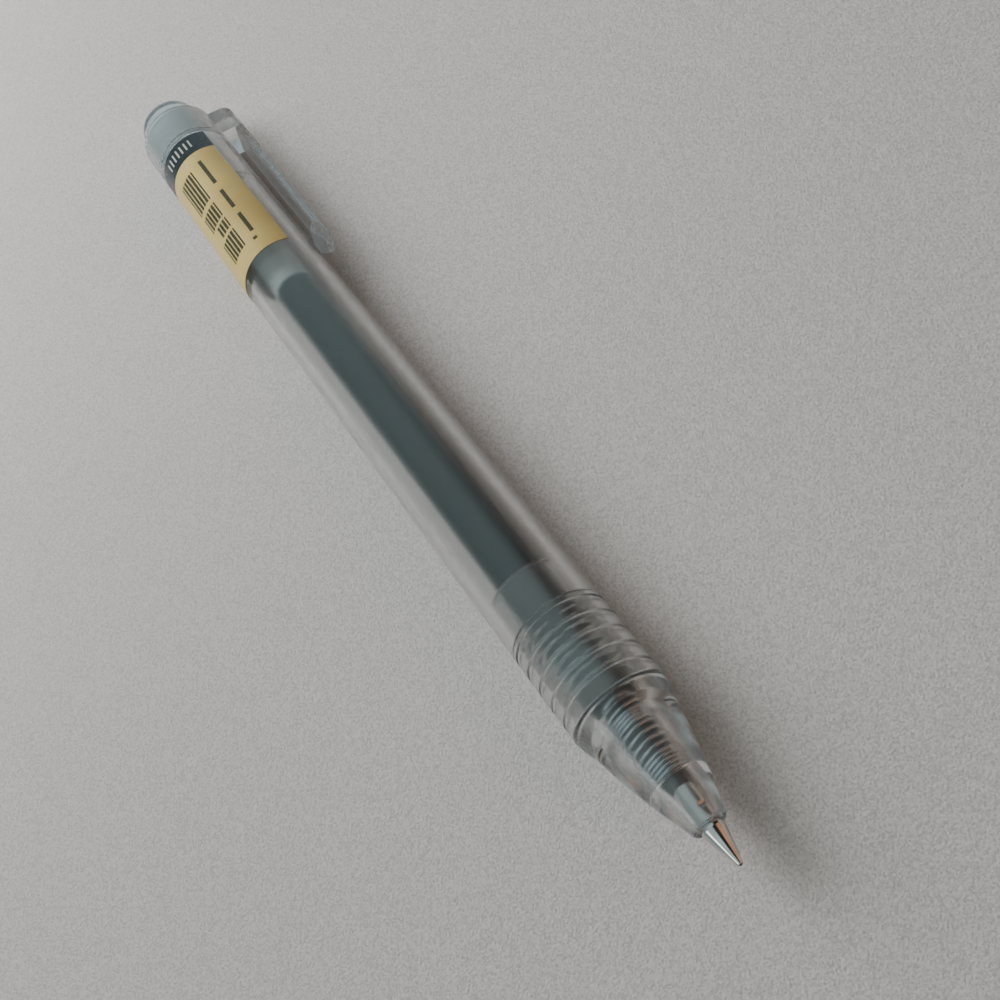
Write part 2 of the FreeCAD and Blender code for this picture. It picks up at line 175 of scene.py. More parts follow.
SPRING_WIRE_R = 0.2
SPRING_R = 1.93
SPRING_RUNS = ((1, 0.42), (2, 0.76), (4, 0.42), (4, 0.84), (5, 0.45))  # (turns, pitch)
SPRING_STEPS = 48           # points per turn
SPRING_SMOOTHING = 25       # points over which one pitch passes into the next

# ---------------------------------------------------------------- pen to frame
tube_low, tube_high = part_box("refill_tube")
clip_hinge = next(j for j in frame["joints"] if j["name"] == "clip_flex")
roll = math.atan2(clip_hinge["axis"][1], clip_hinge["axis"][2])
TIP = Vector((
    tube_high.x - TUBE_FRONT * MM,
    (tube_low.y + tube_high.y) / 2,
    (tube_low.z + tube_high.z) / 2,
))
PEN = Matrix.Translation(TIP) @ Matrix.Rotation(-roll, 4, "X") @ Matrix.Scale(MM, 4)


# ---------------------------------------------------------------- outlines
def arc(start, through, end, steps=8):
    """Points on the circle through three (x, r) points, without the start."""
    (ax, ay), (bx, by), (cx, cy) = start, through, end
    d = 2 * (ax * (by - cy) + bx * (cy - ay) + cx * (ay - by))
    a2, b2, c2 = ax * ax + ay * ay, bx * bx + by * by, cx * cx + cy * cy
    ux = (a2 * (by - cy) + b2 * (cy - ay) + c2 * (ay - by)) / d
    uy = (a2 * (cx - bx) + b2 * (ax - cx) + c2 * (bx - ax)) / d
    radius = math.hypot(ax - ux, ay - uy)
    first, middle, last = (math.atan2(y - uy, x - ux) for x, y in (start, through, end))
    turn = (last - first) % (2 * math.pi)
    if (middle - first) % (2 * math.pi) > turn:
        turn -= 2 * math.pi
    angles = [first + turn * (i + 1) / steps for i in range(steps)]
    return [(ux + radius * math.cos(a), uy + radius * math.sin(a)) for a in angles]


def run(x0, x1, r, step):
    """Evenly spaced points along a straight stretch of one radius."""
    count = max(1, round(abs(x1 - x0) / step))
    return [(x0 + (x1 - x0) * i / count, r) for i in range(count + 1)]


def eased(points, steps=4):
    """Round the corners of a closed outline that carry a third number, their radius."""
    out = []
    for i, point in enumerate(points):
        here = np.array(point[:2], float)
        if len(point) < 3:
            out.append(tuple(here))
            continue
        back = np.array(points[i - 1][:2], float) - here
        ahead = np.array(points[(i + 1) % len(points)][:2], float) - here
        back_length, ahead_length = np.linalg.norm(back), np.linalg.norm(ahead)
        back, ahead = back / back_length, ahead / ahead_length
        half = math.acos(np.clip(back @ ahead, -1, 1)) / 2
        cut = min(point[2] / math.tan(half), 0.45 * back_length, 0.45 * ahead_length)
        middle = (back + ahead) / np.linalg.norm(back + ahead)
        centre = here + middle * cut / math.cos(half)
        radius = cut * math.tan(half)
        start, end = here + back * cut, here + ahead * cut
        for k in range(steps + 1):
            spoke = start + (end - start) * k / steps - centre
            out.append(tuple(centre + spoke / np.linalg.norm(spoke) * radius))
    return out


def braced(points, edge=0.05, ratio=0.25):
    """Add a point near each end of a long stretch that meets a short one.

    The rings turned from them keep the shading of the long stretch straight.
    """
    points = np.array(points, float)
    count = len(points)
    steps = np.roll(points, -1, axis=0) - points
    lengths = np.linalg.norm(steps, axis=1)
    out = []
    for i in range(count):
        out.append(tuple(points[i]))
        if lengths[i] < 6 * edge:
            continue
        ahead = steps[i] / lengths[i] * edge
        if lengths[i - 1] < ratio * lengths[i]:
            out.append(tuple(points[i] + ahead))
        if lengths[(i + 1) % count] < ratio * lengths[i]:
            out.append(tuple(points[i] + steps[i] - ahead))
    return out


# ---------------------------------------------------------------- meshes
def finish_mesh(mesh, sharp):
    """Clean a mesh drawn in pen coordinates and carry it to its place in the frame."""
    bm = bmesh.new()
    bm.from_mesh(mesh)
    bmesh.ops.remove_doubles(bm, verts=bm.verts, dist=1e-5)
    bmesh.ops.recalc_face_normals(bm, faces=bm.faces)
    bm.to_mesh(mesh)
    bm.free()
    mesh.transform(PEN)
    mesh.shade_smooth()
    mesh.set_sharp_from_angle(angle=math.radians(sharp))


def mark_core(mesh):
    """Mark the faces that look at the pen's axis; the mould's core leaves them satin."""
    faces = mesh.polygons
    normals, centres = np.zeros(3 * len(faces)), np.zeros(3 * len(faces))
    faces.foreach_get("normal", normals)
    faces.foreach_get("center", centres)
    outward = (centres.reshape(-1, 3) - np.array(TIP)) * (0, 1, 1)
    inside = np.sum(outward * normals.reshape(-1, 3), axis=1) < 0
    core = mesh.attributes.new("core", "FLOAT", "FACE")
    core.data.foreach_set("value", inside.astype(np.float32))


def new_object(name, mesh, material):
    piece = bpy.data.objects.new(name, mesh)
    bpy.context.scene.collection.objects.link(piece)
    mesh.materials.append(material)
    return piece


def mesh_of(name, verts, faces):
    """A mesh from points and the faces that join them."""
    mesh = bpy.data.meshes.new(name)
    mesh.from_pydata(np.asarray(verts, float).tolist(), [], faces)
    return mesh


def skin(rings, sides, looped=False):
    """The quads between neighbouring rings that have the same number of points."""
    faces = []
    for i in range(rings if looped else rings - 1):
        a, b = i * sides, (i + 1) % rings * sides
        for j in range(sides):
            k = (j + 1) % sides
            faces.append((a + j, a + k, b + k, b + j))
    return faces


def caps(rings, sides):
    """The two end faces of a row of rings."""
    return [tuple(range(sides)), tuple((rings - 1) * sides + j for j in range(sides))]


def turned_mesh(name, outline, shape=None, segments=SEGMENTS):
    """Turn a closed outline of (x, r) about the axis.

    shape(x, r, angle) gives each point's radius, for threads and dimples.
    """
    points = braced(eased(outline))
    xs = np.array([p[0] for p in points])
    rs = np.array([p[1] for p in points])
    angle = np.linspace(0, 2 * math.pi, segments, endpoint=False)
    x, turn = np.meshgrid(xs, angle, indexing="ij")
    r = np.repeat(rs[:, None], segments, axis=1)
    if shape is not None:
        r = shape(x, r, turn)
    verts = np.stack([x, r * np.cos(turn), r * np.sin(turn)], -1).reshape(-1, 3)
    return mesh_of(name, verts, skin(len(points), segments, looped=True))


def swept_mesh(name, centres, radius, sides=12, dome_rings=4, dome_sweep=1.5):
    """A round wire through a row of points, closed by small domes.

    dome_sweep is in radians, a little short of a quarter turn so that the last ring stays open.
    """
    centres = np.asarray(centres, float)
    tangents = np.gradient(centres, axis=0)
    tangents /= np.linalg.norm(tangents, axis=1)[:, None]
    outward = centres * (0, 1, 1)
    outward -= tangents * np.sum(outward * tangents, axis=1)[:, None]
    outward /= np.linalg.norm(outward, axis=1)[:, None]
    across = np.cross(tangents, outward)
    rings = []
    for i, (centre, out, side, ahead) in enumerate(zip(centres, outward, across, tangents)):
        if i in (0, len(centres) - 1):
            sign = -1 if i == 0 else 1
            dome = [(math.cos(t), math.sin(t)) for t in np.linspace(0, dome_sweep, dome_rings)]
            if i == 0:
                dome.reverse()
            rings += [(centre + sign * ahead * radius * s, out, side, radius * c) for c, s in dome]
        else:
            rings.append((centre, out, side, radius))
    angle = np.linspace(0, 2 * math.pi, sides, endpoint=False)
    verts = []
    for centre, out, side, r in rings:
        verts.append(centre + r * (np.cos(angle)[:, None] * out + np.sin(angle)[:, None] * side))
    faces = skin(len(rings), sides) + caps(len(rings), sides)
    return mesh_of(name, np.concatenate(verts), faces)


# ---------------------------------------------------------------- material nodes
MIX_A, MIX_B, MIX_OUT = 6, 7, 2     # a Mix node's sockets for colours


def new_node(tree, kind, inputs=None, **settings):
    """Add a node. Its inputs may be numbers, colours or other nodes' outputs."""
    made = tree.nodes.new("ShaderNode" + kind)
    for key, value in settings.items():
        setattr(made, key, value)
    for key, value in (inputs or {}).items():
        if isinstance(value, bpy.types.NodeSocket):
            tree.links.new(value, made.inputs[key])
        else:
            made.inputs[key].default_value = value
    return made


class Look:
    """A node material being built. Patterns are placed in the object's own coordinates."""

    def __init__(self, name):
        self.material = bpy.data.materials.new(name)
        self.material.use_nodes = True
        self.tree = self.material.node_tree
        self.tree.nodes.clear()
        self.output = self.tree.nodes.new("ShaderNodeOutputMaterial")
        self.place = self.node("TexCoord").outputs["Object"]

    def node(self, kind, inputs=None, **settings):
        return new_node(self.tree, kind, inputs, **settings)

    def calc(self, operation, *values):
        return self.node("Math", dict(enumerate(values)), operation=operation).outputs[0]

    def summed(self, *terms):
        """The sum of two (value, weight) pairs."""
        return self.calc("ADD", *(self.calc("MULTIPLY", *term) for term in terms))

    def stretched(self, x, y, z):
        return self.node("Mapping", {"Vector": self.place, "Scale": (x, y, z)}).outputs[0]

    def noise(self, per_mm, detail, vector=None):
        inputs = {"Vector": vector or self.place, "Scale": per_mm / MM, "Detail": detail}
        return self.node("TexNoise", inputs).outputs["Fac"]

    def span(self, value, low, high, start=0.3, end=0.7):
        """Carry start..end, which holds most of a noise, to low..high."""
        inputs = {"Value": value, "From Min": start, "From Max": end, "To Min": low, "To Max": high}
        return self.node("MapRange", inputs).outputs[0]

    def blend(self, factor, a, b):
        return self.node("Mix", {0: factor, MIX_A: a, MIX_B: b}, data_type="RGBA").outputs[MIX_OUT]

    def bump(self, height, strength, distance_mm):
        inputs = {"Height": height, "Strength": strength, "Distance": distance_mm * MM}
        return self.node("Bump", inputs).outputs[0]

    def principled(self, **inputs):
        named = {key.replace("_", " "): value for key, value in inputs.items()}
        return self.node("BsdfPrincipled", named).outputs[0]

    def shadowed(self, shader, passes):
        """Let a share of the light through to the shadow, which the renderer would block."""
        clear = self.node("BsdfTransparent", {"Color": (passes, passes, passes, 1.0)}).outputs[0]
        is_shadow = self.node("LightPath").outputs["Is Shadow Ray"]
        return self.node("MixShader", {0: is_shadow, 1: shader, 2: clear}).outputs[0]

    def show(self, shader):
        self.tree.links.new(shader, self.output.inputs["Surface"])
        return self.material


def rgb(r, g, b):
    """A colour given as display values from 0 to 255."""
    def linear(c):
        c /= 255
        return c / 12.92 if c <= 0.04045 else ((c + 0.055) / 1.055) ** 2.4

    return (linear(r), linear(g), linear(b), 1.0)


ACRYLIC_IOR = 1.49


def clear_plastic(name, tint, rough, core_rough, milky, scratch, passes):
    """Moulded clear plastic: soft flow marks, handling scratches along the pen, a little haze.

    rough is the outer faces' least and most roughness and core_rough that of the faces shaped
    by the mould's core. milky is the share of light that the plastic scatters, scratch is how
    deep the hairlines are, and passes is the share of light let through to the shadow.
    """
    look = Look(name)
    flow = look.noise(0.12, 2.0, look.stretched(0.25, 1, 1))
    hairlines = look.noise(6.0, 4.0, look.stretched(0.05, 1, 1))
    specks = look.noise(1.7, 5.0)
    patches = look.summed((flow, 0.6), (specks, 0.4))
    core = look.node("Attribute", attribute_name="core").outputs["Fac"]
    height = look.summed((flow, 4.0), (hairlines, scratch))
    darker = tuple(c * 0.97 for c in tint)
    colour = look.blend(look.span(specks, 0, 1), tint + (1.0,), darker + (1.0,))
    glass = look.principled(
        Base_Color=colour,
        Roughness=look.span(core, look.span(patches, *rough), core_rough, 0.0, 1.0),
        IOR=ACRYLIC_IOR,
        Transmission_Weight=1.0 - milky,
        Normal=look.bump(height, 0.25, 0.02),
    )
    return look.show(look.shadowed(glass, passes))


def satin_plastic(name, colour, darker, rough, grain_per_mm, gloss=0.5):
    """Opaque moulded plastic with faint mottling and a fine grain."""
    look = Look(name)
    mottle = look.noise(0.35, 3.0)
    grain = look.noise(grain_per_mm, 2.0)
    return look.show(look.principled(
        Base_Color=look.blend(look.span(mottle, 0, 1), colour, darker),
        Roughness=look.span(grain, rough - 0.06, rough + 0.08),
        Specular_IOR_Level=gloss,
        Normal=look.bump(look.calc("ADD", grain, look.calc("MULTIPLY", mottle, 2.0)), 0.12, 0.02),
    ))


def metal(name, colour, darker, rough, rings_per_mm, ring_strength):
    """Bright metal with turning rings across the axis and faint smudges."""
    look = Look(name)
    rings = look.noise(rings_per_mm, 2.0, look.stretched(1, 0.02, 0.02))
    smudge = look.noise(0.9, 3.0)
    return look.show(look.principled(
        Base_Color=look.blend(look.span(smudge, 0, 1), colour, darker),
        Metallic=1.0,
        Roughness=look.span(smudge, rough * 0.8, rough * 1.5),
        Normal=look.bump(rings, ring_strength, 0.01),
    ))


# ---------------------------------------------------------------- materials
clear_barrel = clear_plastic(
    "clear_barrel", (0.86, 0.855, 0.84), rough=(0.05, 0.10), core_rough=0.18,
    milky=0.008, scratch=1.0, passes=0.86)
clear_nose = clear_plastic(
    "clear_nose", (0.91, 0.91, 0.90), rough=(0.08, 0.13), core_rough=0.30,
    milky=0.012, scratch=0.4, passes=0.93)
clear_tail = clear_plastic(
    "clear_tail", (0.90, 0.91, 0.905), rough=(0.20, 0.30), core_rough=0.30,
    milky=0.03, scratch=0.7, passes=0.95)
clear_button = clear_plastic(
    "clear_button", (0.84, 0.90, 0.92), rough=(0.06, 0.12), core_rough=0.12,
    milky=0.03, scratch=0.7, passes=0.75)
milky_tube = clear_plastic(
    "milky_tube", (0.62, 0.86, 0.89), rough=(0.10, 0.16), core_rough=0.14,
    milky=0.008, scratch=0.6, passes=0.7)
clear_grease = clear_plastic(
    "clear_grease", (0.82, 0.77, 0.75), rough=(0.25, 0.40), core_rough=0.40,
    milky=0.70, scratch=0.0, passes=0.7)
white_plastic = satin_plastic(
    "white_plastic", rgb(208, 222, 226), rgb(196, 211, 216), rough=0.30, grain_per_mm=3.0)
dark_plastic = satin_plastic(
    "dark_plastic", rgb(62, 64, 64), rgb(50, 52, 53), rough=0.42, grain_per_mm=3.0)
ink_black = satin_plastic(
    "ink_black", rgb(18, 22, 24), rgb(10, 13, 15), rough=0.30, grain_per_mm=2.0, gloss=0.1)
tip_metal = metal(
    "tip_metal", rgb(232, 228, 222), rgb(212, 206, 198),
    rough=0.13, rings_per_mm=14.0, ring_strength=0.35)
spring_steel = metal(
    "spring_steel", rgb(216, 219, 221), rgb(176, 180, 184),
    rough=0.14, rings_per_mm=3.0, ring_strength=0.10)
ball_metal = metal(
    "ball_metal", rgb(130, 128, 126), rgb(110, 108, 106),
    rough=0.08, rings_per_mm=20.0, ring_strength=0.05)

# the label's print: (first and last station, first and last angle in degrees from the clip)
PRINT_BLOCKS = (
    (-117.5, -110.4, 120.5, 153.5),
    (-109.4, -106.1, 120.5, 153.5),
    (-105.6, -103.4, 120.5, 144.5),
    (-102.8, -98.6, 120.5, 153.5),
)
PRINT_DASHES = (
    (-118.0, -112.0, 99.0, 105.0),
    (-110.2, -105.7, 99.0, 105.0),
    (-104.2, -99.7, 99.0, 105.0),
    (-98.6, -98.0, 101.5, 108.0),
)
PRINT_MARKS = [(-123.3, -121.6, 96.0 + 8.0 * i, 98.6 + 8.0 * i) for i in range(7)]
PRINT_TICKS = [(-119.5 + 0.7 * i, -119.2 + 0.7 * i, 68.0, 71.0) for i in range(7)]
BAND_FRONT = -120.2
LINE_PITCH = 0.62           # of the fine lines that fill the blocks
LINE_GAP = 0.28             # the share of the pitch that stays bare


def printed_label():
    """A satin sticker: straw colour, a dark band at the back, and plain bars and lines.

    The UV map is in millimetres: u along the pen and v round the barrel from the clip.
    """
    look = Look("label")
    uv = look.node("UVMap", uv_map="print").outputs[0]
    along, around = look.node("SeparateXYZ", {0: uv}).outputs[:2]

    def between(value, low, high):
        half = (high - low) / 2
        return look.calc("COMPARE", value, (low + high) / 2, half)

    def box(x0, x1, a0, a1):
        """1 inside a box from station x0 to x1 and from angle a0 to a1 in degrees."""
        to_mm = math.radians(1) * (BARREL_R + LABEL_T)
        inside_angles = between(around, a0 * to_mm, a1 * to_mm)
        return look.calc("MULTIPLY", between(along, x0, x1), inside_angles)

    def boxes(rows):
        total = box(*rows[0])
        for row in rows[1:]:
            total = look.calc("MAXIMUM", total, box(*row))
        return total

    # fine parallel lines along the pen fill the blocks
    line = look.calc("FRACT", look.calc("DIVIDE", around, LINE_PITCH))
    lines = look.calc("GREATER_THAN", line, LINE_GAP)
    dark = look.calc("MULTIPLY", boxes(PRINT_BLOCKS), lines)
    dark = look.calc("MAXIMUM", dark, boxes(PRINT_DASHES))
    band = between(along, LABEL_BACK - 1, BAND_FRONT)
    pale = look.calc("MAXIMUM", boxes(PRINT_MARKS), boxes(PRINT_TICKS))
    fibre = look.noise(3.0, 4.0)
    stain = look.noise(0.15, 2.0)
    colour = look.blend(look.span(stain, 0, 1), rgb(190, 166, 98), rgb(176, 152, 84))
    printed = look.calc("MULTIPLY", dark, look.span(fibre, 0.88, 1.0))
    colour = look.blend(printed, colour, rgb(26, 27, 18))
    colour = look.blend(band, colour, rgb(16, 22, 26))
    colour = look.blend(look.calc("MULTIPLY", pale, 0.75), colour, rgb(190, 190, 176))
    film = look.principled(
        Base_Color=colour,
        Roughness=look.span(fibre, 0.32, 0.5),
        Coat_Weight=0.3,
        Coat_Roughness=0.25,
        Normal=look.bump(fibre, 0.15, 0.02),
    )
    return look.show(look.shadowed(film, 0.5))


label_print = printed_label()


# ---------------------------------------------------------------- threads and dimples
def ridge(x, angle):
    """Height from 0 to 1 of the nose's right-hand thread at a station and angle."""
    turns = (x - THREAD_BACK) / THREAD_PITCH - angle / (2 * math.pi)
    away = np.abs(turns - np.round(turns)) * THREAD_PITCH
    flank = np.clip((THREAD_HALF_BASE - away) / THREAD_FLANK, 0, 1)
    height = flank * flank * (3 - 2 * flank)
    lead_in = np.clip((x - THREAD_BACK) / THREAD_LEAD_IN, 0, 1)
    lead_out = np.clip((THREAD_FRONT - x) / THREAD_LEAD_IN, 0, 1)
    return height * (lead_in * lead_out)


def male_thread(x, r, angle):
    """Raise the thread's ridge from the points on its root."""
    on_root = np.abs(r - THREAD_ROOT_R) < 0.02
    return r + on_root * (THREAD_CREST_R - THREAD_ROOT_R) * ridge(x, angle)


def crimps(x, r, angle):
    """Three small dimples pressed into the tip's stem."""
    deep = np.zeros_like(r)
    for centre in CRIMP_ANGLES:
        turn = (angle - math.radians(centre) + math.pi) % (2 * math.pi) - math.pi
        gap = np.hypot(x - CRIMP_X, turn * STEM_R) / CRIMP_R
        deep = np.maximum(deep, CRIMP_DEPTH * np.clip(1 - gap * gap, 0, 1))
    outside = (np.abs(r - STEM_R) < 0.01) & (x > CRIMP_X - 1.9)
    return r - deep * outside


# ---------------------------------------------------------------- pieces
def add(name, mesh, material, body, slot, *nodes, sharp=SHARP_ANGLE):
    """Put a piece in the scene on its body, in place of the CAD nodes."""
    finish_mesh(mesh, sharp)
    mark_core(mesh)
    piece = new_object(name, mesh, material)
    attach(piece, body)
    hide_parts(*nodes)
    return piece


def barrel():
    outline = [
        (NECK_BACK, WIDE_BORE_R, 0.06),
        (NECK_BACK, NECK_R, 0.1),
        (COLLAR_FRONT, NECK_R, 0.05),
        (COLLAR_FRONT, TAIL_R, 0.06),
        (LABEL_FRONT, BARREL_R),
    ]
    lip_r = BARREL_R - GROOVE_LIP_DROP
    for x in GROOVES:
        outline.append((x - GROOVE_HALF - GROOVE_LIP, BARREL_R))
        outline.append((x - GROOVE_HALF, lip_r))
        outline += arc(outline[-1], (x, BARREL_R - GROOVE_DEPTH), (x + GROOVE_HALF, lip_r))
        outline.append((x + GROOVE_HALF + GROOVE_LIP, BARREL_R))
    outline += [
        (NOSE_SEAM, BARREL_R, 0.14),
        (NOSE_SEAM, WIDE_BORE_R, 0.06),
        (MOUTH_BORE_BACK, WIDE_BORE_R, 0.05),
        (MOUTH_BORE_BACK - MOUTH_TAPER, BORE_R),
        (SLEEVE_FRONT, BORE_R),
        (SLEEVE_FRONT, WIDE_BORE_R),
    ]
    mesh = turned_mesh("barrel_clear", outline)
    add("barrel_clear", mesh, clear_barrel, "casing", "clear_barrel", "barrel")


def label():
    """The sticker, a thin strip bent round the barrel with its gap under the clip."""
    outer = BARREL_R + LABEL_T
    section = eased([
        (LABEL_BACK, TAIL_R + LABEL_GLUE_BACK),
        (LABEL_BACK, TAIL_R + LABEL_T, 0.03),
        (LABEL_FRONT, outer, 0.03),
        (LABEL_FRONT, BARREL_R + LABEL_GLUE_FRONT),
    ])
    angles = np.radians(LABEL_FIRST + LABEL_SWEEP * np.linspace(0, 1, LABEL_STEPS + 1))
    verts, prints = [], []
    for angle in angles:
        for x, r in section:
            verts.append((x, r * math.cos(angle), r * math.sin(angle)))
            prints.append((x, angle * outer))
    rings, sides = len(angles), len(section)
    mesh = mesh_of("label_sticker", verts, caps(rings, sides) + skin(rings, sides))
    layer = mesh.uv_layers.new(name="print")
    for loop in mesh.loops:
        layer.data[loop.index].uv = prints[loop.vertex_index]
    add("label_sticker", mesh, label_print, "casing", "label", "label")


def boolean(target, tool, operation):
    """Apply a boolean between two meshes and drop the tool."""
    body, cutter = (bpy.data.objects.new("shaping", m) for m in (target, tool))
    for o in (body, cutter):
        bpy.context.scene.collection.objects.link(o)
    modifier = body.modifiers.new("cut", "BOOLEAN")
    modifier.operation, modifier.object, modifier.solver = operation, cutter, "EXACT"
    bpy.context.view_layer.update()
    depsgraph = bpy.context.evaluated_depsgraph_get()
    result = bpy.data.meshes.new_from_object(body.evaluated_get(depsgraph))
    for o in (body, cutter):
        bpy.data.objects.remove(o)
    return result


def clip_section(x, low, high, half, corner=0.42, steps=5):
    """A rounded rectangle across the clip, from y low to high and z -half to half."""
    corner = min(corner, 0.49 * (high - low), 0.98 * half)
    points = []
    for cy, cz, first in (
        (high - corner, half - corner, 0),
        (high - corner, -(half - corner), -90),
        (low + corner, -(half - corner), -180),
        (low + corner, half - corner, -270),
    ):
        for k in range(steps + 1):
            a = math.radians(first + 90 - 90 * k / steps)
            points.append((x, cy + corner * math.cos(a), cz + corner * math.sin(a)))
    return points


def loft(name, sections):
    """Skin a row of sections with the same number of points, and close both ends."""
    rings, sides = len(sections), len(sections[0])
    verts = [point for section in sections for point in section]
    return mesh_of(name, verts, caps(rings, sides) + skin(rings, sides))


def collar():
    """The tail ring with the block that carries the clip."""
    floor = COLLAR_BACK + 1.0
    ring = turned_mesh("ring", [
        (COLLAR_FRONT, COLLAR_SEAT_R),
        (COLLAR_FRONT, BARREL_R, 0.08),
        (COLLAR_BACK, BARREL_R, 0.5),
        (COLLAR_BACK, KNOB_HOLE_R, 0.12),
        (floor, KNOB_HOLE_R),
        (floor, COLLAR_SEAT_R),
    ], segments=MEDIUM_SEGMENTS)
    back = (CLIP_ROOT_BACK, CLIP_OUT - CLIP_ROOT_ROUND)
    shoulder = (CLIP_ROOT_BACK + 0.32, CLIP_OUT - 0.32)
    rounding = arc(back, shoulder, (CLIP_ROOT_BACK + CLIP_ROOT_ROUND, CLIP_OUT))
    stations = [back] + rounding + [(CLIP_HINGE, CLIP_OUT)]
    block = loft("block", [
        clip_section(x, CLIP_ROOT_IN, top, CLIP_HALF_WIDTH) for x, top in stations
    ])
    core = turned_mesh("core", [
        (COLLAR_BACK - 1, ON_AXIS),
        (COLLAR_BACK - 1, NECK_R + 0.2),
        (COLLAR_FRONT + 1, NECK_R + 0.2),
        (COLLAR_FRONT + 1, ON_AXIS),
    ], segments=MEDIUM_SEGMENTS)
    mesh = boolean(ring, boolean(block, core, "DIFFERENCE"), "UNION")
    mesh.name = "tail_collar"
    add("tail_collar", mesh, clear_tail, "casing", "clear_tail", "clip_collar", sharp=30)


def clip():
    """The clip's springy bar, with the bump under its free end."""
    bow = CLIP_TIP - CLIP_TIP_HALF_WIDTH        # the end is half round from here, seen from above
    end = CLIP_TIP - CLIP_END_ROUND             # and rounded over from here, seen from the side
    plain = np.linspace(CLIP_HINGE + 0.02, CLIP_TIP - 5.0, 24)
    fine = np.linspace(CLIP_TIP - 4.8, CLIP_TIP - 0.03, 40)
    sections = []
    for x in list(plain) + list(fine):
        share = (x - CLIP_HINGE) / (bow - CLIP_HINGE)
        half = CLIP_HALF_WIDTH + (CLIP_TIP_HALF_WIDTH - CLIP_HALF_WIDTH) * min(share, 1)
        if x > bow:
            half = math.sqrt(max(CLIP_TIP_HALF_WIDTH ** 2 - (x - bow) ** 2, 0.02))
        share = (x - CLIP_HINGE) / (CLIP_TIP - CLIP_END_ROUND - CLIP_HINGE)
        high = CLIP_OUT + (CLIP_TIP_OUT - CLIP_OUT) * min(share, 1)
        if x > end:
            high -= CLIP_END_DROP * ((x - CLIP_TIP + CLIP_END_ROUND) / CLIP_END_ROUND) ** 2.2
        low = CLIP_IN + (CLIP_TIP_IN - CLIP_IN) * (x - CLIP_HINGE) / (CLIP_TIP - CLIP_HINGE)
        away = abs(x - CLIP_BUMP) / CLIP_BUMP_HALF
        if away < 1:
            low -= (low - BARREL_R - CLIP_GAP) * math.cos(away * math.pi / 2) ** 1.2
        sections.append(clip_section(x, low, high, half))
    mesh = loft("clip_bar", sections)
    add("clip_bar", mesh, clear_tail, "clip", "clear_tail", "clip_arm")


def nose():
    outline = [(SPIGOT_BACK, SPIGOT_BORE_R, 0.08), (SPIGOT_BACK, SPIGOT_R, 0.15)]
    outline.append((THREAD_BACK - 0.6, SPIGOT_R, 0.05))
    outline += run(THREAD_BACK - 0.5, NOSE_SEAM - 0.3, THREAD_ROOT_R, 0.08)
    outline += [(NOSE_SEAM, THREAD_ROOT_R), (NOSE_SEAM, NOSE_SHOULDER[1], 0.1), NOSE_SHOULDER]
    joined = NOSE_SHOULDER
    for through, last in NOSE_PROFILE:
        outline += arc(joined, through, last)
        joined = last
    outline += [
        (NOSE_END, TIP_BORE_R, 0.08),
        (NOSE_END, TIP_HOLE_R, 0.05),
        (NOSE_END - 0.6, TIP_HOLE_R),
        (-6.9, TIP_BORE_R),
        (SPRING_SEAT, TIP_BORE_R, 0.04),
        (SPRING_SEAT, SPRING_BORE_R, 0.1),
        (-17.0, SPRING_BORE_R),
        (-17.8, SPIGOT_BORE_R),
    ]
    mesh = turned_mesh("nose_clear", outline, shape=male_thread)
    add("nose_clear", mesh, clear_nose, "nose", "clear_nose", "nose_cone")


def button():
    shoulder = (PEN_BACK + KNOB_CROWN, KNOB_R)
    crown = arc(shoulder, (PEN_BACK + 0.45, KNOB_R - 0.4), (PEN_BACK + 0.12, KNOB_R - KNOB_CROWN))
    dome = arc(crown[-1], (PEN_BACK + 0.03, 1.9), (PEN_BACK + 0.005, 0.8))
    outline = [
        (PEN_BACK + KNOB_CAP_T, ON_AXIS),
        (PEN_BACK + KNOB_CAP_T, KNOB_BORE_R, 0.2),
        (COLLAR_FRONT, KNOB_BORE_R, 0.05),
        (COLLAR_FRONT, KNOB_R, 0.1),
        shoulder,
    ]
    outline += crown + dome + [(PEN_BACK, ON_AXIS)]
    mesh = turned_mesh("push_button", outline, segments=MEDIUM_SEGMENTS)
    add("push_button", mesh, clear_button, "knock", "clear_button", "knock_button")


